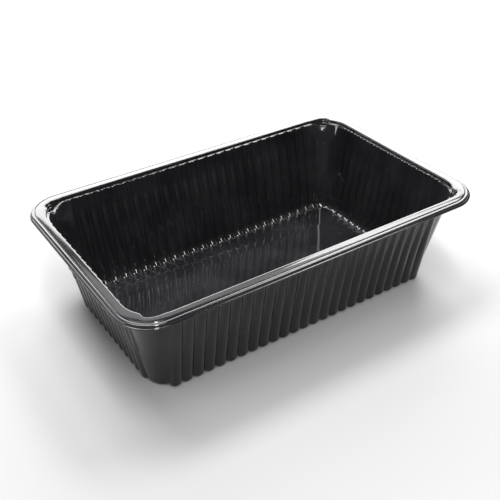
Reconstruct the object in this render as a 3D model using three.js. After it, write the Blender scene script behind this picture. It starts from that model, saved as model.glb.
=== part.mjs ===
import * as THREE from 'three';

// A deep rectangular food tray formed from one plastic sheet.
// Sizes are in millimetres: X along the long side, Y along the short side, Z up, table at Z = 0.
// "Offset" is a distance outward from a plain box of HALF_LONG by HALF_SHORT, whose corners are
// the centres of the tray's rounded corners. "Depth" is measured down from the rim top.

const HEIGHT = 70;
const HALF_LONG = 100;
const HALF_SHORT = 53;
const SHEET = 0.6;

// Walls: sloping panels that end in plain, rounded corners. The corners grow towards the foot:
// the fluted part of each wall ends a little earlier, and the rounding begins earlier still.
// Each pair is for the long walls and the short walls.
const PANEL_OFFSET = 20.74;
const PANEL_SLOPE = [0.235, 0.19];
const FLUTED_SLOPE = [0.015, 0.085];
const ROUNDING_SLOPE = [0.045, 0.125];

// Flutes: half-round ribs that stand out from the panels.
const RIBS = [25, 14];
const CREST_OFFSET = 21.7;
const CREST_SLOPE = [0.195, 0.174];
const RIB_RADIUS = 1.5;
const RIB_RADIUS_GROWTH = 0.055;
const RIB_ARC_STEPS = 4;
const VALLEY_GAP = 0.2;
const END_GAP_INSIDE = 0.8;
const FULL_RIB_DEPTH = 43;

// Stacking steps: the end rib of a short wall stops at its step, and its neighbour is proud above.
const STEP_DEPTH = 37;
const STEP_RISE = 0.45;
const STEP_EDGE = 0.01;
const STEP_HEIGHT = 1.2;
const STEP_PROUD = 0.4;

// Foot: how high its bend starts, and how the bottoms between the ribs are lifted.
const BEND_OUTSIDE = 3.5;
const BEND_INSIDE = 5.7;
const BEND_STEPS = 2;
const FLAT_RISE = 0.45;
const VALLEY_RISE = 1.7;
const PAD_LENGTH = 3;

// Floor loops from the channels' ends inward, as half length, half width, corner and lift.
const FLOOR_LOOPS = [
  [95.5, 41, 7, 1.3],
  [91, 34.5, 9, 1.6],
  [50, 19, 5, 1.1],
];
const CENTRE_LIFT = 0.9;

// Corners turn through CORNER_TURN degrees, with a point at each of CORNER_ANGLES. CORNER_SPAN is
// the share of a corner's unit of place that they take up.
const CORNER_TURN = 90;
const CORNER_SPAN = 0.9999;
const CORNER_ANGLES = [0, 12, 24, 34, 41, 46, 56, 66, 78, 90];

// Corner pockets: the half of each corner beside the long wall is cut back under the rim. Shares
// of the full cut are given at each of CORNER_ANGLES.
const POCKET_SHARES = [0, 0.04, 0.1, 0.2, 0.4, 1, 0.8, 0.55, 0, 0];
const POCKET_EXTRA_DEPTH = 3.2;

// Parts that the long and the short walls are cut into where nothing on them is fluted.
const STRAIGHT_PARTS = [3, 2];

// Least height between two rows of points down a wall.
const LEAST_ROW_GAP = 1;

// Rim profile as [offset, depth, offset in a pocket, depth in a pocket], from the ledge at the
// wall top, over the rim, out to the edge and back underneath. The outer part of the rim turns
// its corners more tightly, about points that lie further out by RIM_CORNER_SHIFT.
const RIM_PROFILE = [
  [21.1, 2.1, 22.2, 5.1],
  [21.2, 1.2, 22.6, 3.1],
  [21.3, 0.6, 24.0, 0.7],
  [21.9, 0.0, 24.6, 0.0],
  [26.0, 0.0, 26.0, 0.0],
  [26.4, 0.45, 26.4, 0.45],
  [27.2, 0.38, 27.2, 0.38],
  [28.3, 0.48, 28.3, 0.48],
  [28.95, 1.8, 28.95, 1.8],
  [30.0, 2.05, 30.0, 2.05],
  [30.0, 2.8, 30.0, 2.8],
  [28.3, 2.7, 28.3, 2.7],
  [27.8, 1.3, 27.8, 1.3],
  [21.95, 0.9, 24.7, 0.95],
  [21.8, 2.9, 22.9, 5.9],
];
const RIM_CORNER_SHIFT = 6;
const RIM_SHIFT_RANGE = [21.95, 25.7];
const LEDGE_DEPTH_INSIDE = 2.6;
const LEDGE_DEPTH_OUTSIDE = 3.2;

const SIDES = [
  { along: [1, 0], out: [0, -1], half: HALF_LONG, away: HALF_SHORT, kind: 0 },
  { along: [0, 1], out: [1, 0], half: HALF_SHORT, away: HALF_LONG, kind: 1 },
  { along: [-1, 0], out: [0, 1], half: HALF_LONG, away: HALF_SHORT, kind: 0 },
  { along: [0, -1], out: [-1, 0], half: HALF_SHORT, away: HALF_LONG, kind: 1 },
];

function degrees(angle) {
  return (angle * Math.PI) / 180;
}

// Places run round the tray, one unit a wall and one a corner. A corner's last place stays just
// short of the next wall's first.
function cornerPlace(sideIndex, angle) {
  return 2 * sideIndex + 1 + (angle / CORNER_TURN) * CORNER_SPAN;
}

function panelOffset(side, depth) {
  return PANEL_OFFSET - PANEL_SLOPE[side.kind] * depth;
}

function crestOffset(side, depth) {
  return CREST_OFFSET - CREST_SLOPE[side.kind] * depth;
}

function ribRadius(depth) {
  return RIB_RADIUS + RIB_RADIUS_GROWTH * depth;
}

// Half the length of a wall's fluted part.
function flutedHalf(kind, depth) {
  return SIDES[kind].half - FLUTED_SLOPE[kind] * depth;
}

// Where the rounding begins along a kind of wall, and how far it reaches on in that direction.
function roundingStart(kind, depth) {
  return SIDES[kind].half - ROUNDING_SLOPE[kind] * depth;
}

function roundingReach(kind, depth, shrink) {
  return PANEL_OFFSET - (PANEL_SLOPE[1 - kind] - ROUNDING_SLOPE[kind]) * depth - shrink;
}

// How far a wall has already turned away from flat at a distance along it.
function roundingDrop(kind, distance, depth, shrink) {
  const beyond = Math.max(0, Math.abs(distance) - roundingStart(kind, depth));
  const share = beyond / roundingReach(kind, depth, shrink);
  return roundingReach(1 - kind, depth, shrink) * (1 - Math.sqrt(1 - share * share));
}

// The angle on the rounding at which the fluted part of a kind of wall ends.
function roundingAngle(kind, depth, shrink) {
  const beyond = flutedHalf(kind, depth) - roundingStart(kind, depth);
  return Math.asin(beyond / roundingReach(kind, depth, shrink)) / degrees(1);
}

// How many ribs lie between a rib and the nearer end of its wall.
function ribsFromEnd(side, rib) {
  return Math.min(rib, RIBS[side.kind] - 1 - rib);
}

function endsAtStep(side, rib) {
  return side.kind === 1 && ribsFromEnd(side, rib) === 0;
}

function hasStep(side, rib) {
  return side.kind === 1 && ribsFromEnd(side, rib) <= 1;
}

// The stretch of wall a rib takes at a depth; the end ribs narrow with the fluted part.
function ribCell(side, rib, depth) {
  const ribs = RIBS[side.kind];
  const pitch = (2 * side.half) / ribs;
  const end = flutedHalf(side.kind, depth);
  const start = rib === 0 ? -end : rib * pitch - side.half;
  const finish = rib === ribs - 1 ? end : (rib + 1) * pitch - side.half;
  return { middle: (start + finish) / 2, halfWidth: (finish - start) / 2 };
}

// Depth of the stacking step on a rib of a short wall.
function stepDepth(side, rib, inside) {
  const fromEnd = ribsFromEnd(side, rib) + 0.5;
  const pitch = (2 * side.half) / RIBS[side.kind];
  return STEP_DEPTH + STEP_RISE * fromEnd * pitch - (inside ? SHEET : 0);
}

// A point from its distance along a side and its offset beyond that side.
function sidePoint(side, distance, offset, height) {
  const reach = side.away + offset;
  return [
    side.along[0] * distance + side.out[0] * reach,
    side.along[1] * distance + side.out[1] * reach,
    height,
  ];
}

// A point on the corner that follows a side, with its own reach along and across that side.
function cornerPoint(side, angle, middle, radii, height) {
  const turn = degrees(angle);
  const across = 1 - side.kind;
  const alongPart = middle[side.kind] + radii[side.kind] * Math.sin(turn);
  const outPart = middle[across] + radii[across] * Math.cos(turn);
  return [
    side.along[0] * alongPart + side.out[0] * outPart,
    side.along[1] * alongPart + side.out[1] * outPart,
    height,
  ];
}

// Share of the pocket at a corner station; pockets lie beside the long walls.
function pocketShare(side, index) {
  const last = CORNER_ANGLES.length - 1;
  return POCKET_SHARES[side.kind === 0 ? last - index : index];
}

function cornerAngle(side, index) {
  const last = CORNER_ANGLES.length - 1;
  return side.kind === 0 ? CORNER_TURN - CORNER_ANGLES[last - index] : CORNER_ANGLES[index];
}

// Gap between a rib's arc and the end of its cell; wider inside where plain wall follows.
function arcGap(side, ribsToEnd, inside) {
  return inside && ribsToEnd <= side.kind ? END_GAP_INSIDE : VALLEY_GAP;
}

// One point of a rib's outline at a depth, from its share of the way across.
function ribPoint(side, rib, share, depth, inside) {
  const { middle, halfWidth } = ribCell(side, rib, depth);
  const thin = inside ? SHEET : 0;
  const panel = panelOffset(side, depth) - thin;
  const above = depth < stepDepth(side, rib, inside);
  const startGap = arcGap(side, rib, inside);
  const endGap = arcGap(side, RIBS[side.kind] - 1 - rib, inside);
  if (endsAtStep(side, rib) && !above) {
    return { distance: middle + (halfWidth - VALLEY_GAP) * (2 * share - 1), offset: panel };
  }
  const proud = hasStep(side, rib) && !endsAtStep(side, rib) && above ? STEP_PROUD : 0;
  const radius = ribRadius(depth) - thin;
  const arcMiddle = crestOffset(side, depth) - ribRadius(depth) + proud;
  const flat = Math.asin((panel - arcMiddle) / radius);
  const startLimit = Math.acos(Math.min(1, (halfWidth - startGap) / radius));
  const endLimit = Math.acos(Math.min(1, (halfWidth - endGap) / radius));
  const start = Math.PI - Math.max(flat, startLimit);
  const angle = start + (Math.max(flat, endLimit) - start) * share;
  return {
    distance: middle + radius * Math.cos(angle),
    offset: arcMiddle + radius * Math.sin(angle),
  };
}

// Lift of the foot under a point that lies some way in from the ribs' crests.
function footRise(fromCrest) {
  return Math.max(0, Math.min(VALLEY_RISE, fromCrest) - FLAT_RISE);
}

// Inward moves and heights round the foot's bend and, underneath, along the flat pad it rests on.
function footPath(rise, inside) {
  const lift = (inside ? SHEET : 0) + rise;
  const top = inside ? SHEET + BEND_INSIDE : BEND_OUTSIDE;
  const radius = top - lift;
  const path = [];
  for (let step = 1; step <= BEND_STEPS; step += 1) {
    const turn = degrees((CORNER_TURN * step) / BEND_STEPS);
    path.push([radius * (1 - Math.cos(turn)), top - radius * Math.sin(turn)]);
  }
  if (!inside) {
    path.push([radius + PAD_LENGTH, lift]);
  }
  return path;
}

function bendDepth(inside) {
  return HEIGHT - (inside ? SHEET + BEND_INSIDE : BEND_OUTSIDE);
}

// The line of points down one rib at a share of its arc, ending under the foot.
function ribColumn(side, rib, share, inside) {
  const thin = inside ? SHEET : 0;
  const footDepth = bendDepth(inside);
  const depths = [inside ? LEDGE_DEPTH_INSIDE : LEDGE_DEPTH_OUTSIDE];
  if (hasStep(side, rib)) {
    const step = stepDepth(side, rib, inside);
    depths.push(step - STEP_EDGE, step + STEP_HEIGHT);
  }
  const lowest = depths[depths.length - 1];
  depths.push(Math.max(FULL_RIB_DEPTH, lowest + LEAST_ROW_GAP), footDepth);
  const pointAt = (depth, inward, height) => {
    const { distance, offset } = ribPoint(side, rib, share, depth, inside);
    const drop = roundingDrop(side.kind, distance, depth, thin + inward);
    return sidePoint(side, distance, offset - inward - drop, height);
  };
  const column = depths.map((depth) => ({ key: depth, point: pointAt(depth, 0, HEIGHT - depth) }));
  const { offset } = ribPoint(side, rib, share, footDepth, inside);
  const rise = footRise(crestOffset(side, footDepth) - thin - offset);
  footPath(rise, inside).forEach(([inward, height], step) => {
    column.push({ key: HEIGHT + step, point: pointAt(footDepth, inward, height) });
  });
  return column;
}

// The line of points down a plain corner, ending under the foot.
function cornerColumn(side, index, inside) {
  const thin = inside ? SHEET : 0;
  const pocket = POCKET_EXTRA_DEPTH * pocketShare(side, index);
  const top = (inside ? LEDGE_DEPTH_INSIDE : LEDGE_DEPTH_OUTSIDE) + pocket;
  const footDepth = bendDepth(inside);
  const pointAt = (depth, inward, height) => {
    const shrink = thin + inward;
    const middle = [roundingStart(0, depth), roundingStart(1, depth)];
    const reach = [roundingReach(0, depth, shrink), roundingReach(1, depth, shrink)];
    const from = roundingAngle(side.kind, depth, shrink);
    const span = CORNER_TURN - from - roundingAngle(1 - side.kind, depth, shrink);
    const angle = from + (span * cornerAngle(side, index)) / CORNER_TURN;
    return cornerPoint(side, angle, middle, reach, height);
  };
  const column = [top, FULL_RIB_DEPTH, footDepth].map((depth) => ({
    key: depth,
    point: pointAt(depth, 0, HEIGHT - depth),
  }));
  footPath(footRise(VALLEY_RISE), inside).forEach(([inward, height], step) => {
    column.push({ key: HEIGHT + step, point: pointAt(footDepth, inward, height) });
  });
  return column;
}

// All columns round one wall, each with its place round the tray.
function wallColumns(inside) {
  const columns = [];
  SIDES.forEach((side, sideIndex) => {
    const ribs = RIBS[side.kind];
    for (let rib = 0; rib < ribs; rib += 1) {
      for (let step = 0; step <= RIB_ARC_STEPS; step += 1) {
        const place = 2 * sideIndex + (rib + (step + 0.5) / (RIB_ARC_STEPS + 1)) / ribs;
        columns.push({ place, points: ribColumn(side, rib, step / RIB_ARC_STEPS, inside) });
      }
    }
    CORNER_ANGLES.forEach((unused, index) => {
      const place = cornerPlace(sideIndex, cornerAngle(side, index));
      columns.push({ place, points: cornerColumn(side, index, inside) });
    });
  });
  return columns;
}

// A plain loop round the tray; the shape function gives corner middles, radius and height.
function plainLoop(shapeAt, straightParts = STRAIGHT_PARTS) {
  const loop = [];
  SIDES.forEach((side, sideIndex) => {
    const parts = straightParts[side.kind];
    const shape = shapeAt(0);
    for (let part = 1; part < parts; part += 1) {
      const beyond = shape.middle[1 - side.kind] - side.away;
      const distance = ((2 * part) / parts - 1) * shape.middle[side.kind];
      const point = sidePoint(side, distance, beyond + shape.radius, shape.height);
      loop.push({ place: 2 * sideIndex + part / parts, point });
    }
    CORNER_ANGLES.forEach((unused, index) => {
      const { middle, radius, height } = shapeAt(pocketShare(side, index));
      const angle = cornerAngle(side, index);
      const point = cornerPoint(side, angle, middle, [radius, radius], height);
      loop.push({ place: cornerPlace(sideIndex, angle), point });
    });
  });
  return loop;
}

function rimLoop([offset, depth, pocketOffset, pocketDepth]) {
  const [from, to] = RIM_SHIFT_RANGE;
  const shift = RIM_CORNER_SHIFT * Math.max(0, Math.min(1, (offset - from) / (to - from)));
  return plainLoop((share) => ({
    middle: [HALF_LONG + shift, HALF_SHORT + shift],
    radius: offset + (pocketOffset - offset) * share - shift,
    height: HEIGHT - depth - (pocketDepth - depth) * share,
  }));
}

// A loop of the floor; the outermost has a point between every two channels.
function floorLoop([halfLength, halfWidth, corner, rise], index, lift) {
  const shape = { middle: [halfLength - corner, halfWidth - corner], radius: corner, height: rise + lift };
  return plainLoop(() => shape, index === 0 ? RIBS : STRAIGHT_PARTS);
}

// Joins two open lines of keyed points with triangles, always taking the nearer next key.
function joinLines(triangles, first, second) {
  let i = 0;
  let j = 0;
  while (i < first.length - 1 || j < second.length - 1) {
    const nextFirst = i < first.length - 1 ? first[i + 1].key : Infinity;
    const nextSecond = j < second.length - 1 ? second[j + 1].key : Infinity;
    if (nextFirst <= nextSecond) {
      triangles.push([first[i].point, first[i + 1].point, second[j].point]);
      i += 1;
    } else {
      triangles.push([first[i].point, second[j + 1].point, second[j].point]);
      j += 1;
    }
  }
}

// Turns a loop into a closed line whose keys run once round the tray.
function closedLine(loop) {
  const line = loop.map(({ place, point }) => ({ key: place, point }));
  line.push({ key: loop[0].place + 2 * SIDES.length, point: loop[0].point });
  return line;
}

function joinLoops(triangles, upper, lower) {
  joinLines(triangles, closedLine(lower), closedLine(upper));
}

function joinColumns(triangles, columns, outward) {
  columns.forEach(({ points }, index) => {
    const next = columns[(index + 1) % columns.length].points;
    if (outward) {
      joinLines(triangles, points, next);
    } else {
      joinLines(triangles, next, points);
    }
  });
}

function columnEnds(columns, last) {
  return columns.map(({ place, points }) => ({
    place,
    point: points[last ? points.length - 1 : 0].point,
  }));
}

// Floor surface inside (lifted by the sheet) or underneath: channels, crease, shallow dish.
function floorSurface(triangles, foot, inside) {
  const lift = inside ? SHEET : 0;
  const loops = [foot, ...FLOOR_LOOPS.map((shape, index) => floorLoop(shape, index, lift))];
  for (let index = 0; index < loops.length - 1; index += 1) {
    if (inside) {
      joinLoops(triangles, loops[index + 1], loops[index]);
    } else {
      joinLoops(triangles, loops[index], loops[index + 1]);
    }
  }
  const last = loops[loops.length - 1];
  const centre = [0, 0, lift + CENTRE_LIFT];
  last.forEach(({ point }, index) => {
    const next = last[(index + 1) % last.length].point;
    triangles.push(inside ? [point, next, centre] : [next, point, centre]);
  });
}

function trayTriangles() {
  const triangles = [];
  const inner = wallColumns(true);
  const outer = wallColumns(false);
  const rim = RIM_PROFILE.map(rimLoop);
  joinColumns(triangles, inner, false);
  joinColumns(triangles, outer, true);
  joinLoops(triangles, columnEnds(inner, false), rim[0]);
  for (let index = 0; index < rim.length - 1; index += 1) {
    joinLoops(triangles, rim[index], rim[index + 1]);
  }
  joinLoops(triangles, rim[rim.length - 1], columnEnds(outer, false));
  floorSurface(triangles, columnEnds(inner, true), true);
  floorSurface(triangles, columnEnds(outer, true), false);
  return triangles;
}

function trayGeometry() {
  const geometry = new THREE.BufferGeometry();
  const positions = new Float32Array(trayTriangles().flat(2));
  geometry.setAttribute('position', new THREE.BufferAttribute(positions, 3));
  geometry.computeVertexNormals();
  return geometry;
}

function glossBlackPlastic() {
  return new THREE.MeshStandardMaterial({ color: 0x17181a, roughness: 0.22, metalness: 0 });
}

const tray = new THREE.Mesh(trayGeometry(), glossBlackPlastic());
tray.name = 'tray';

const group = new THREE.Group();
group.name = 'food_tray';
group.add(tray);

export default group;
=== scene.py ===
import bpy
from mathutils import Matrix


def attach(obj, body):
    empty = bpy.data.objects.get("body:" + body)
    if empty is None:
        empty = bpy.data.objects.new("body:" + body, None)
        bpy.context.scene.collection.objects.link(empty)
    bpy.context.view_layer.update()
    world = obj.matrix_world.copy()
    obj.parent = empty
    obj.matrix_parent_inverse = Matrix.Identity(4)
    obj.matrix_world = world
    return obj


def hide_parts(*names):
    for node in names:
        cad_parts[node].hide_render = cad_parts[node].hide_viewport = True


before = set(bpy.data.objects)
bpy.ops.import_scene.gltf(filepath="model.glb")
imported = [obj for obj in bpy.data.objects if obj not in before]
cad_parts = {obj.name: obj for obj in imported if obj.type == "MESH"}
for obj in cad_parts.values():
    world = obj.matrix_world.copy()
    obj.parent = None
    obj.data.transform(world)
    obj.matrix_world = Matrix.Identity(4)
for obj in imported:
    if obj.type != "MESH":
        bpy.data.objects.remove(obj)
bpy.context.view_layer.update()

import math

import bpy
import numpy as np
from mathutils import Matrix, Vector

# Lengths are millimetres until the mesh is made. An offset is a distance outward from a plain
# box of HALF_LONG by HALF_SHORT, and a depth is measured down from the top of the rim.
MM = 0.001
HEIGHT = 70.0
HALF_LONG, HALF_SHORT = 100.0, 53.0
SHEET = 0.6

# Walls: sloping panels that end in plain, rounded corners. Towards the foot the fluted part of
# each wall ends earlier, and the rounding begins earlier still. Pairs are long, short walls.
PANEL_OFFSET = 20.74
PANEL_SLOPE = (0.235, 0.19)
FLUTED_SLOPE = (0.015, 0.085)
ROUNDING_SLOPE = (0.045, 0.125)
CREST_OFFSET = 21.7
CREST_SLOPE = (0.195, 0.174)
RIBS = (25, 14)
RIB_RADIUS, RIB_RADIUS_GROWTH = 1.5, 0.055
VALLEY_GAP, END_GAP_INSIDE = 0.15, 0.8
EDGE_ROUND = 0.22

# Stations round the tray: each rib has ARC_POINTS of them, at places from -1 to 1 across it, after
# one between it and the rib before. A corner has CORNER_POINTS. To soften the flutes' edges, each
# point takes NEIGHBOUR_SHARE of its place from each neighbour.
ARC_POINTS, CORNER_POINTS = 9, 24
BETWEEN_RIBS = -1.5
NEIGHBOUR_SHARE = 0.2

# Stacking steps: the end ribs of the short walls stop there, and the next ones are proud above.
# On the long walls and in the corners their rings run AWAY_FROM_STEP below STEP_DEPTH.
STEP_DEPTH, STEP_RISE, STEP_HALF_HEIGHT, STEP_PROUD = 37.6, 0.45, 0.6, 0.4
AWAY_FROM_STEP = 4.0

# Rings down a wall: shares of the way from the ledge to just above the step, distances from the
# step, and shares of the way from the step to the foot.
RINGS_ABOVE_STEP, CLEAR_OF_STEP = (0.0, 0.35, 0.7), 2.0
RINGS_AT_STEP = (-1.2, -0.6, -0.3, 0.0, 0.3, 0.6, 1.2)
RINGS_BELOW_STEP = (0.3, 0.65, 1.0)

# Foot: height of its bend, and how many angles it has from 0 to 90 degrees. A bottom lifts off the
# table by how far it lies behind the rib's crest, from FLAT_RISE on and up to VALLEY_RISE. The blend that
# starts this lift adds a little, which LIFT_TRIM takes off again.
BEND_OUTSIDE, BEND_INSIDE = 3.5, 5.7
TURNS_OUTSIDE, TURNS_INSIDE = 7, 9
FLAT_RISE, VALLEY_RISE = 0.45, 1.7
LIFT_ROUND, LIFT_TRIM = 0.15, 0.02
PAD_LENGTH = 3.0

# Channels in the floor, with their rings as shares of the way from the bend to the floor's edge.
CHANNEL_RISE = VALLEY_RISE - FLAT_RISE
CHANNEL_ROUND = 0.06
CHANNEL_RINGS_INSIDE = (0.12, 0.24, 0.36, 0.48, 0.6, 0.72, 0.86)
CHANNEL_RINGS_UNDER = (0.35, 0.7)

# Floor rows from the channels' ends inward: half length, half width, corner radius, lift.
FLOOR_ROWS = (
    (95.5, 41.0, 7.0, 1.30),
    (92.5, 36.0, 9.0, 1.52),
    (91.5, 35.0, 9.0, 1.62),
    (90.7, 34.2, 9.0, 1.60),
    (88.0, 31.5, 9.0, 1.46),
    (80.0, 27.0, 8.0, 1.30),
    (65.0, 20.0, 7.0, 1.18),
    (45.0, 13.0, 5.0, 1.10),
    (25.0, 7.0, 3.0, 1.06),
)
FLOOR_ROWS_UNDER = (0, 2, 5)
FLOOR_MIDDLE_DROP = 0.02

# Rim section as offset and depth, and the same point in the corner pockets. Below the FLUTES_FROM
# depths its rows stay outside the flutes.
RIM_INSIDE = (
    (19.55, 2.82, 19.00, 6.05),
    (19.75, 2.62, 19.40, 5.90),
    (20.30, 2.46, 20.60, 5.70),
    (20.88, 2.32, 22.00, 5.50),
    (21.06, 2.18, 22.20, 5.25),
    (21.10, 2.05, 22.35, 3.45),
    (21.12, 1.90, 22.50, 3.25),
    (21.14, 1.70, 23.10, 3.12),
    (21.16, 1.50, 23.20, 2.90),
    (21.18, 1.25, 23.28, 1.65),
    (21.19, 1.12, 23.40, 1.50),
    (21.20, 1.00, 23.80, 1.42),
    (21.22, 0.80, 23.92, 1.20),
    (21.30, 0.42, 24.00, 0.42),
    (21.48, 0.15, 24.18, 0.15),
    (21.80, 0.02, 24.50, 0.02),
)
RIM_OUTSIDE = (
    (22.30, 0.00, 24.70, 0.00),
    (26.00, 0.00, 26.00, 0.00),
    (26.18, 0.03, 26.18, 0.03),
    (26.32, 0.16, 26.32, 0.16),
    (26.46, 0.38, 26.46, 0.38),
    (26.62, 0.47, 26.62, 0.47),
    (26.85, 0.45, 26.85, 0.45),
    (27.15, 0.39, 27.15, 0.39),
    (27.55, 0.37, 27.55, 0.37),
    (28.05, 0.39, 28.05, 0.39),
    (28.42, 0.44, 28.42, 0.44),
    (28.66, 0.56, 28.66, 0.56),
    (28.84, 0.78, 28.84, 0.78),
    (28.97, 1.10, 28.97, 1.10),
    (29.06, 1.48, 29.06, 1.48),
    (29.16, 1.80, 29.16, 1.80),
    (29.26, 1.94, 29.26, 1.94),
    (29.38, 1.97, 29.38, 1.97),
    (29.84, 1.98, 29.84, 1.98),
    (29.96, 2.12, 29.96, 2.12),
    (30.00, 2.50, 30.00, 2.50),
    (29.96, 2.72, 29.96, 2.72),
    (29.80, 2.80, 29.80, 2.80),
    (28.60, 2.76, 28.60, 2.76),
    (28.36, 2.62, 28.36, 2.62),
    (28.16, 2.00, 28.16, 2.00),
    (27.94, 1.42, 27.94, 1.42),
    (27.40, 1.24, 27.40, 1.24),
    (25.60, 1.06, 25.60, 1.06),
    (22.20, 0.80, 25.00, 0.90),
    (21.90, 1.10, 24.70, 1.25),
    (21.80, 2.40, 23.95, 3.40),
    (21.60, 2.95, 22.95, 5.85),
    (21.00, 3.10, 22.30, 6.20),
)
RIM_CORNER_SHIFT = 6.0
RIM_SHIFT_FROM, RIM_SHIFT_TO = 21.95, 25.7
LEDGE_DEPTH, LEDGE_DEPTH_OUTSIDE = 3.1, 3.4
FLUTES_FROM, FLUTES_FROM_OUTSIDE = 2.1, 2.9
POCKET_DEPTH, POCKET_DEPTH_OUTSIDE = 6.5, 6.7
POCKET_START, POCKET_FULL, POCKET_END, POCKET_FADE = 39.0, 46.0, 80.0, 1.5

# Camera, from the fit to the photograph's 500 by 500 frame.
CAMERA_FROM_RIM = (-249.40, -383.33, 266.96)
CAMERA_AZIMUTH, CAMERA_ELEVATION, CAMERA_ROLL = -32.754, 33.945, -1.2166
FOCAL_PIXELS, FRAME_PIXELS = 801.03, 500.0
SENSOR_WIDTH = 36.0
NEAREST_SEEN, FARTHEST_SEEN = 0.02, 20.0

# Plastic: its darkest and lightest tint, the range of its roughness, how much a rub adds to it,
# and each ripple's scale to the metre, detail and height in metres.
PLASTIC_IOR = 1.49
PLASTIC_DARK, PLASTIC_LIGHT = (0.0095, 0.0097, 0.0108), (0.030, 0.0303, 0.0325)
ROUGHNESS, SCUFF_ROUGHNESS = (0.055, 0.09), 0.2
RIPPLES = ((40, 1, 0.00003), (900, 2, 0.000003))

# Each pattern's scale to the metre and detail, and the part of its range that is used. Rubs are
# streaks where there are patches, and streaks are long in height.
CLOUDS, CLOUD_RANGE, CLOUD_SHARE = (34, 3), (0.35, 0.7), 0.35
GLOSS, GLOSS_RANGE = (55, 4), (0.3, 0.7)
STREAKS, STREAK_RANGE, STREAK_STRETCH = (420, 2), (0.66, 0.74), (1, 1, 0.12)
PATCHES, PATCH_RANGE = (26, 1), (0.56, 0.68)

# Places of the factor, the two colours and the result among a Mix node's sockets.
MIX_FACTOR, MIX_FIRST, MIX_SECOND, MIX_RESULT = 0, 6, 7, 2

# Studio floor, in metres.
FLOOR_HALF_SIZE = 3.0
FLOOR_GREY, FLOOR_ROUGHNESS = 0.38, 0.9

# Light. A soft box's power is in watts for each unit of brightness and square metre. Each box has
# a name, an azimuth from +X toward +Y, an elevation, a width and height in metres, a brightness.
POWER_PER_BRIGHTNESS = 4.0
ROOM_BRIGHTNESS = 0.08
BOX_DISTANCE = 1.6
SOFT_BOXES = (
    ("back_box", 63.0, 24.3, (1.85, 0.60), 7.5),
    ("back_right_box", 40.0, 38.0, (0.50, 0.24), 8.5),
    ("upper_back_box", 60.0, 44.0, (1.00, 0.26), 1.7),
    ("back_left_box", 148.0, 8.0, (1.70, 0.40), 7.0),
    ("top_box", 96.0, 68.0, (0.90, 0.46), 12.0),
    ("top_right_box", 22.0, 58.0, (0.75, 0.34), 14.0),
    ("front_strip", 250.0, 62.0, (0.16, 1.60), 26.0),
    ("front_box", 250.0, 42.0, (1.10, 0.40), 1.2),
)


def smooth_step(low, high, value):
    t = np.clip((value - low) / (high - low), 0.0, 1.0)
    return t * t * (3.0 - 2.0 * t)


def smooth_max(first, second, blend):
    """The greater of two values, with the change-over rounded."""
    return 0.5 * (first + second + np.sqrt((first - second) ** 2 + blend * blend))


def rib_radius(depth):
    return RIB_RADIUS + RIB_RADIUS_GROWTH * depth


class Stations:
    """The places round the tray, anticlockwise from the front's left end, as arrays."""

    def __init__(self):
        rows = []
        sides = (
            ((1, 0), (0, -1), HALF_LONG, HALF_SHORT, 0),
            ((0, 1), (1, 0), HALF_SHORT, HALF_LONG, 1),
            ((-1, 0), (0, 1), HALF_LONG, HALF_SHORT, 0),
            ((0, -1), (-1, 0), HALF_SHORT, HALF_LONG, 1),
        )
        for along, out, half, away, kind in sides:
            for rib in range(RIBS[kind]):
                for place in [BETWEEN_RIBS] + list(np.linspace(-1, 1, ARC_POINTS)):
                    rows.append((along, out, half, away, kind, rib, place, 0.0, False))
            for step in range(CORNER_POINTS):
                angle = 90.0 * step / (CORNER_POINTS - 1)
                rows.append((along, out, half, away, kind, 0, 0.0, angle, True))
        self.count = len(rows)
        self.along = np.array([r[0] for r in rows], float)
        self.out = np.array([r[1] for r in rows], float)
        self.half = np.array([r[2] for r in rows])
        self.away = np.array([r[3] for r in rows])
        self.kind = np.array([r[4] for r in rows])
        self.rib = np.array([r[5] for r in rows])
        self.place = np.array([r[6] for r in rows])
        degrees = np.array([r[7] for r in rows])
        self.angle = np.radians(degrees)
        self.corner = np.array([r[8] for r in rows])
        self.ribs = self.pick(RIBS)
        self.from_start = self.rib
        self.from_end = self.ribs - 1 - self.rib
        self.from_corner = np.minimum(self.from_start, self.from_end)
        self.pitch = 2.0 * self.half / self.ribs
        from_short = np.where(self.kind == 0, 90.0 - degrees, degrees)
        rise = smooth_step(POCKET_START, POCKET_FULL, from_short)
        fade = 1.0 - smooth_step(POCKET_FULL, POCKET_END, from_short) ** POCKET_FADE
        self.pocket = np.where(self.corner, rise * fade, 0.0)

    def pick(self, pair):
        """The value for each station's own wall, from a pair for long and short walls."""
        return np.where(self.kind == 0, pair[0], pair[1])

    def place_points(self, distance, reach, height):
        flat = self.along * distance[:, None] + self.out * reach[:, None]
        return np.column_stack([flat, np.broadcast_to(height, (self.count,))])

    def loop(self, lateral, middles, offset, height):
        """A ring of even section: corner middles, and an offset outward from them."""
        middle_along = self.pick(middles)
        middle_out = self.pick(middles[::-1])
        distance = np.where(self.corner, middle_along, lateral * middle_along / self.half)
        distance = distance + np.where(self.corner, np.sin(self.angle), 0.0) * offset
        reach = middle_out + np.where(self.corner, np.cos(self.angle), 1.0) * offset
        return self.place_points(distance, reach, height)


def panel_offset(st, depth):
    return PANEL_OFFSET - st.pick(PANEL_SLOPE) * depth


def crest_offset(st, depth):
    return CREST_OFFSET - st.pick(CREST_SLOPE) * depth


def rib_cell(st, depth):
    """Middle and half width of each station's rib; end ribs narrow with the fluted part."""
    end = st.half - st.pick(FLUTED_SLOPE) * depth
    start = np.where(st.from_start == 0, -end, st.rib * st.pitch - st.half)
    finish = np.where(st.from_end == 0, end, (st.rib + 1) * st.pitch - st.half)
    return (start + finish) / 2, (finish - start) / 2


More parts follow.
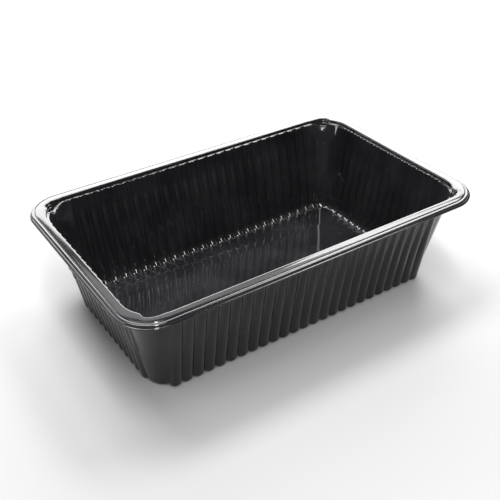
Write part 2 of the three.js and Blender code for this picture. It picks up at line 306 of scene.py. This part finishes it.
def step_depth(st, inside):
    """The stacking step's depth at each station, on one level away from the steps."""
    slope = STEP_RISE * (np.minimum(st.from_corner, 1) + 0.5) * st.pitch
    level = STEP_DEPTH + np.where((st.kind == 1) & ~st.corner, slope, AWAY_FROM_STEP)
    return level - (SHEET if inside else 0.0)


def above_step(st, depth, inside):
    step = step_depth(st, inside)
    return 1.0 - smooth_step(step - STEP_HALF_HEIGHT, step + STEP_HALF_HEIGHT, depth)


def rib_shape(st, depth, inside):
    """Distance along the wall and offset of each station's wall surface at a depth."""
    thin = SHEET if inside else 0.0
    middle, half_width = rib_cell(st, depth)
    panel = panel_offset(st, depth) - thin
    above = above_step(st, depth, inside)
    short = st.kind == 1
    proud = np.where(short & (st.from_corner == 1), STEP_PROUD * above, 0.0)
    presence = np.where(short & (st.from_corner == 0), above, 1.0)
    radius = rib_radius(depth) - thin
    arc_middle = crest_offset(st, depth) - rib_radius(depth) + proud
    level = np.arcsin(np.clip((panel - arc_middle) / radius, -1, 1))
    start_gap = np.where((st.from_start <= st.kind) & inside, END_GAP_INSIDE, VALLEY_GAP)
    end_gap = np.where((st.from_end <= st.kind) & inside, END_GAP_INSIDE, VALLEY_GAP)
    start = np.pi - np.maximum(level, np.arccos(np.clip((half_width - start_gap) / radius, 0, 1)))
    end = np.maximum(level, np.arccos(np.clip((half_width - end_gap) / radius, 0, 1)))
    share = (np.clip(st.place, -1, 1) + 1) / 2
    arc = start + (end - start) * share
    lateral = radius * np.cos(arc)
    offset = smooth_max(arc_middle + radius * np.sin(arc), panel, EDGE_ROUND)
    between = st.place == BETWEEN_RIBS
    lateral = np.where(between, -half_width, lateral)
    offset = np.where(between & (st.from_start == 0), panel, offset)
    offset = panel + (offset - panel) * presence
    return middle + lateral, np.where(st.corner, panel, offset)


def wall_ring(st, depth, inside, inward=0.0, height=None):
    """A ring of the wall at a depth, moved inward by an amount for the bend of the foot."""
    distance, offset = rib_shape(st, depth, inside)
    shrink = (SHEET if inside else 0.0) + inward
    across = ROUNDING_SLOPE[::-1]
    middle_along = st.half - st.pick(ROUNDING_SLOPE) * depth
    middle_out = st.away - st.pick(across) * depth
    slope_along = st.pick(PANEL_SLOPE[::-1]) - st.pick(ROUNDING_SLOPE)
    slope_out = st.pick(PANEL_SLOPE) - st.pick(across)
    reach_along = PANEL_OFFSET - slope_along * depth - shrink
    reach_out = PANEL_OFFSET - slope_out * depth - shrink
    grow_along = (st.pick(ROUNDING_SLOPE) - st.pick(FLUTED_SLOPE)) * depth
    grow_out = (st.pick(across) - st.pick(FLUTED_SLOPE[::-1])) * depth
    first_angle = np.arcsin(grow_along / reach_along)
    last_angle = np.arcsin(grow_out / reach_out)
    angle = first_angle + (1 - (first_angle + last_angle) / (np.pi / 2)) * st.angle
    beyond = np.maximum(0.0, np.abs(distance) - middle_along) / reach_along
    drop = reach_out * (1 - np.sqrt(1 - np.minimum(beyond, 1.0) ** 2))
    distance = np.where(st.corner, middle_along + reach_along * np.sin(angle), distance)
    corner_reach = middle_out + reach_out * np.cos(angle)
    reach = np.where(st.corner, corner_reach, st.away + offset - inward - drop)
    level = HEIGHT - depth if height is None else height
    return soften(st, st.place_points(distance, reach, level))


def soften(st, points):
    """Rounds the edges between flutes and panel by averaging along the ring of stations."""
    keep = st.corner & (np.roll(st.corner, 1) & np.roll(st.corner, -1))
    neighbours = np.roll(points, 1, 0) + np.roll(points, -1, 0)
    blurred = (1 - 2 * NEIGHBOUR_SHARE) * points + NEIGHBOUR_SHARE * neighbours
    return np.where(keep[:, None], points, blurred)


def bend_top(inside):
    """Height at which a wall ends and the foot's bend begins."""
    return SHEET + BEND_INSIDE if inside else BEND_OUTSIDE


def wall_rings(st, inside):
    """Rings from the ledge under the rim down to the start of the foot."""
    top = LEDGE_DEPTH if inside else LEDGE_DEPTH_OUTSIDE
    pocket = POCKET_DEPTH if inside else POCKET_DEPTH_OUTSIDE
    top = top + (pocket - top) * st.pocket
    step = step_depth(st, inside)
    foot = HEIGHT - bend_top(inside)
    depths = [top + share * (step - CLEAR_OF_STEP - top) for share in RINGS_ABOVE_STEP]
    depths += [step + shift for shift in RINGS_AT_STEP]
    depths += [step + share * (foot - step) for share in RINGS_BELOW_STEP]
    return [wall_ring(st, depth, inside) for depth in depths]


def foot_lift(st, inside):
    """Lift of the foot's bottom at each station: none under the ribs, more between them."""
    foot = HEIGHT - bend_top(inside)
    offset = rib_shape(st, foot, inside)[1]
    drop = crest_offset(st, foot) - (SHEET if inside else 0.0) - offset
    lifted = smooth_max(np.minimum(drop, VALLEY_RISE) - FLAT_RISE, 0.0, LIFT_ROUND)
    return np.where(st.corner, CHANNEL_RISE, np.clip(lifted - LIFT_TRIM, 0.0, CHANNEL_RISE))


def foot_rings(st, inside):
    """Rings round the foot's bend, from the wall to the bottoms of the channels."""
    lift = (SHEET if inside else 0.0) + foot_lift(st, inside)
    top = bend_top(inside)
    radius = top - lift
    turns = np.radians(np.linspace(0, 90, TURNS_INSIDE if inside else TURNS_OUTSIDE)[1:])
    rings = []
    for turn in turns:
        inward = radius * (1 - math.cos(turn))
        rings.append(wall_ring(st, HEIGHT - top, inside, inward, top - radius * math.sin(turn)))
    return rings


def floor_rings(st, inside):
    """Rings from the foot's bend to the middle of the floor, over the ends of the channels."""
    sheet = SHEET if inside else 0.0
    lift = foot_lift(st, inside)
    top = bend_top(inside)
    pad = 0.0 if inside else PAD_LENGTH
    start = wall_ring(st, HEIGHT - top, inside, top - sheet - lift + pad, sheet + lift)
    distance = rib_shape(st, HEIGHT - top, inside)[0]
    rows = []
    for index, (half_x, half_y, corner, rise) in enumerate(FLOOR_ROWS):
        if inside or index in FLOOR_ROWS_UNDER:
            middles = (half_x - corner, half_y - corner)
            rows.append(st.loop(distance, middles, corner, sheet + rise))
    rings = [] if inside else [start]
    for share in CHANNEL_RINGS_INSIDE if inside else CHANNEL_RINGS_UNDER:
        ring = start + (rows[0] - start) * share
        channel = smooth_max(CHANNEL_RISE * (1 - share) - lift, 0.0, CHANNEL_ROUND)
        ring[:, 2] = sheet + CHANNEL_RISE + (rows[0][:, 2] - sheet - CHANNEL_RISE) * share - channel
        rings.append(ring)
    return rings + rows


def rim_rings(st):
    """Rings from the inside ledge over the rim to the outside wall's top."""
    inner_side, inner_offset = rib_shape(st, LEDGE_DEPTH, True)
    outer_side, outer_offset = rib_shape(st, LEDGE_DEPTH_OUTSIDE, False)
    rings = []
    rows = [(row, 0.0) for row in RIM_INSIDE]
    last = len(RIM_OUTSIDE) - 1
    rows += [(row, index / last) for index, row in enumerate(RIM_OUTSIDE)]
    for (offset, depth, pocket_offset, pocket_depth), under in rows:
        reach = offset + (pocket_offset - offset) * st.pocket
        level = HEIGHT - depth - (pocket_depth - depth) * st.pocket
        if under == 0 and depth > FLUTES_FROM:
            reach = np.maximum(reach, np.where(st.corner, 0.0, inner_offset))
        if under > 0.5 and depth > FLUTES_FROM_OUTSIDE:
            reach = np.maximum(reach, np.where(st.corner, 0.0, outer_offset))
        shift = RIM_CORNER_SHIFT * smooth_step(RIM_SHIFT_FROM, RIM_SHIFT_TO, offset)
        side = inner_side + (outer_side - inner_side) * under
        middles = (HALF_LONG + shift, HALF_SHORT + shift)
        rings.append(st.loop(side, middles, reach - shift, level))
    return rings


def shell_mesh(name):
    """The whole tray as one closed shell, ring after ring from the floor inside to underneath."""
    st = Stations()
    rings = floor_rings(st, True)[::-1]
    rings += foot_rings(st, True)[::-1]
    rings += wall_rings(st, True)[::-1]
    rings += rim_rings(st)
    rings += wall_rings(st, False)
    rings += foot_rings(st, False)
    rings += floor_rings(st, False)
    count = st.count
    middle = FLOOR_ROWS[-1][3] - FLOOR_MIDDLE_DROP
    points = np.concatenate(rings + [[(0, 0, SHEET + middle), (0, 0, middle)]]) * MM
    top_centre, under_centre = len(points) - 2, len(points) - 1
    faces = []
    for ring in range(len(rings) - 1):
        base = ring * count
        for i in range(count):
            j = (i + 1) % count
            faces.append((base + i, base + count + i, base + count + j, base + j))
    last = (len(rings) - 1) * count
    for i in range(count):
        j = (i + 1) % count
        faces.append((i, j, top_centre))
        faces.append((last + j, last + i, under_centre))
    mesh = bpy.data.meshes.new(name)
    mesh.from_pydata(points.tolist(), [], faces)
    mesh.validate()
    for polygon in mesh.polygons:
        polygon.use_smooth = True
    return mesh


def noise_pattern(tree, scale, detail, stretch=(1, 1, 1)):
    """Noise in the tray's own coordinates, with a scale in features to the metre."""
    coordinates = tree.nodes.new("ShaderNodeTexCoord")
    mapping = tree.nodes.new("ShaderNodeMapping")
    mapping.inputs["Scale"].default_value = stretch
    noise = tree.nodes.new("ShaderNodeTexNoise")
    noise.inputs["Scale"].default_value = scale
    noise.inputs["Detail"].default_value = detail
    tree.links.new(coordinates.outputs["Object"], mapping.inputs["Vector"])
    tree.links.new(mapping.outputs["Vector"], noise.inputs["Vector"])
    return noise.outputs["Fac"]


def remap(tree, value, source, target):
    """Carries a value from one range to another with soft ends."""
    node = tree.nodes.new("ShaderNodeMapRange")
    node.interpolation_type = "SMOOTHSTEP"
    node.inputs["From Min"].default_value, node.inputs["From Max"].default_value = source
    node.inputs["To Min"].default_value, node.inputs["To Max"].default_value = target
    tree.links.new(value, node.inputs["Value"])
    return node.outputs["Result"]


def combine(tree, operation, first, second):
    node = tree.nodes.new("ShaderNodeMath")
    node.operation = operation
    tree.links.new(first, node.inputs[0])
    tree.links.new(second, node.inputs[1])
    return node.outputs["Value"]


def scuff_pattern(tree):
    """Short, thin rubs in a few worn patches, from 0 where the sheet is clean."""
    streaks = remap(tree, noise_pattern(tree, *STREAKS, STREAK_STRETCH), STREAK_RANGE, (0, 1))
    patches = remap(tree, noise_pattern(tree, *PATCHES), PATCH_RANGE, (0, 1))
    return combine(tree, "MULTIPLY", streaks, patches)


def ripple_normal(tree):
    """A slow unevenness from forming, then the fine grain of the sheet."""
    normal = None
    for scale, detail, height in RIPPLES:
        bump = tree.nodes.new("ShaderNodeBump")
        bump.inputs["Distance"].default_value = height
        tree.links.new(noise_pattern(tree, scale, detail), bump.inputs["Height"])
        if normal:
            tree.links.new(normal, bump.inputs["Normal"])
        normal = bump.outputs["Normal"]
    return normal


def black_plastic():
    """Glossy black sheet: a cloudy tint and gloss, faint rubs and a fine ripple."""
    material = bpy.data.materials.new("gloss_black_plastic")
    material.use_nodes = True
    tree = material.node_tree
    shader = tree.nodes["Principled BSDF"]
    shader.inputs["IOR"].default_value = PLASTIC_IOR
    scuffs = scuff_pattern(tree)
    tint = tree.nodes.new("ShaderNodeMix")
    tint.data_type = "RGBA"
    tint.inputs[MIX_FIRST].default_value = (*PLASTIC_DARK, 1)
    tint.inputs[MIX_SECOND].default_value = (*PLASTIC_LIGHT, 1)
    clouds = remap(tree, noise_pattern(tree, *CLOUDS), CLOUD_RANGE, (0, CLOUD_SHARE))
    tree.links.new(combine(tree, "MAXIMUM", clouds, scuffs), tint.inputs[MIX_FACTOR])
    tree.links.new(tint.outputs[MIX_RESULT], shader.inputs["Base Color"])
    gloss = remap(tree, noise_pattern(tree, *GLOSS), GLOSS_RANGE, ROUGHNESS)
    worn = remap(tree, scuffs, (0, 1), (0, SCUFF_ROUGHNESS))
    tree.links.new(combine(tree, "ADD", gloss, worn), shader.inputs["Roughness"])
    tree.links.new(ripple_normal(tree), shader.inputs["Normal"])
    return material


def make_tray():
    tray = bpy.data.objects.new("tray_shell", shell_mesh("tray_shell"))
    bpy.context.scene.collection.objects.link(tray)
    tray.data.materials.append(black_plastic())
    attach(tray, "root")
    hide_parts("tray")


def make_camera():
    azimuth, elevation = math.radians(CAMERA_AZIMUTH), math.radians(CAMERA_ELEVATION)
    back = Vector(
        (
            math.sin(azimuth) * math.cos(elevation),
            -math.cos(azimuth) * math.cos(elevation),
            math.sin(elevation),
        )
    )
    right = (-back).cross(Vector((0, 0, 1))).normalized()
    up = right.cross(-back)
    roll = math.radians(CAMERA_ROLL)
    tilted_right = right * math.cos(roll) + up * math.sin(roll)
    tilted_up = up * math.cos(roll) - right * math.sin(roll)
    data = bpy.data.cameras.new("camera")
    data.sensor_fit = "HORIZONTAL"
    data.sensor_width = SENSOR_WIDTH
    data.lens = data.sensor_width * FOCAL_PIXELS / FRAME_PIXELS
    data.clip_start, data.clip_end = NEAREST_SEEN, FARTHEST_SEEN
    camera = bpy.data.objects.new("camera", data)
    bpy.context.scene.collection.objects.link(camera)
    turn = Matrix((tilted_right, tilted_up, back)).transposed().to_4x4()
    place = Vector(CAMERA_FROM_RIM) + Vector((0, 0, HEIGHT))
    camera.matrix_world = Matrix.Translation(place * MM) @ turn
    bpy.context.scene.camera = camera


def make_floor():
    mesh = bpy.data.meshes.new("studio_floor")
    size = FLOOR_HALF_SIZE
    corners = [(-size, -size, 0), (size, -size, 0), (size, size, 0), (-size, size, 0)]
    mesh.from_pydata(corners, [], [(0, 1, 2, 3)])
    floor = bpy.data.objects.new("studio_floor", mesh)
    bpy.context.scene.collection.objects.link(floor)
    material = bpy.data.materials.new("pale_floor")
    material.use_nodes = True
    shader = material.node_tree.nodes["Principled BSDF"]
    shader.inputs["Base Color"].default_value = (FLOOR_GREY, FLOOR_GREY, FLOOR_GREY, 1)
    shader.inputs["Roughness"].default_value = FLOOR_ROUGHNESS
    mesh.materials.append(material)


def soft_box(name, azimuth, elevation, size, brightness):
    """A rectangular light that faces the tray and whose face has an even brightness."""
    data = bpy.data.lights.new(name, "AREA")
    data.shape = "RECTANGLE"
    data.size, data.size_y = size
    data.energy = POWER_PER_BRIGHTNESS * brightness * size[0] * size[1]
    light = bpy.data.objects.new(name, data)
    bpy.context.scene.collection.objects.link(light)
    turn, tilt = math.radians(azimuth), math.radians(elevation)
    level = math.cos(tilt)
    toward = Vector((math.cos(turn) * level, math.sin(turn) * level, math.sin(tilt)))
    light.location = toward * BOX_DISTANCE
    light.rotation_mode = "QUATERNION"
    light.rotation_quaternion = (-toward).to_track_quat("-Z", "Y")


def make_light():
    """Soft boxes round the tray in a dim, even room."""
    world = bpy.data.worlds.new("studio")
    world.use_nodes = True
    background = world.node_tree.nodes["Background"]
    background.inputs["Color"].default_value = (1, 1, 1, 1)
    background.inputs["Strength"].default_value = ROOM_BRIGHTNESS
    bpy.context.scene.world = world
    for box in SOFT_BOXES:
        soft_box(*box)
    bpy.context.scene.view_settings.view_transform = "Standard"


make_camera()
make_tray()
make_floor()
make_light()
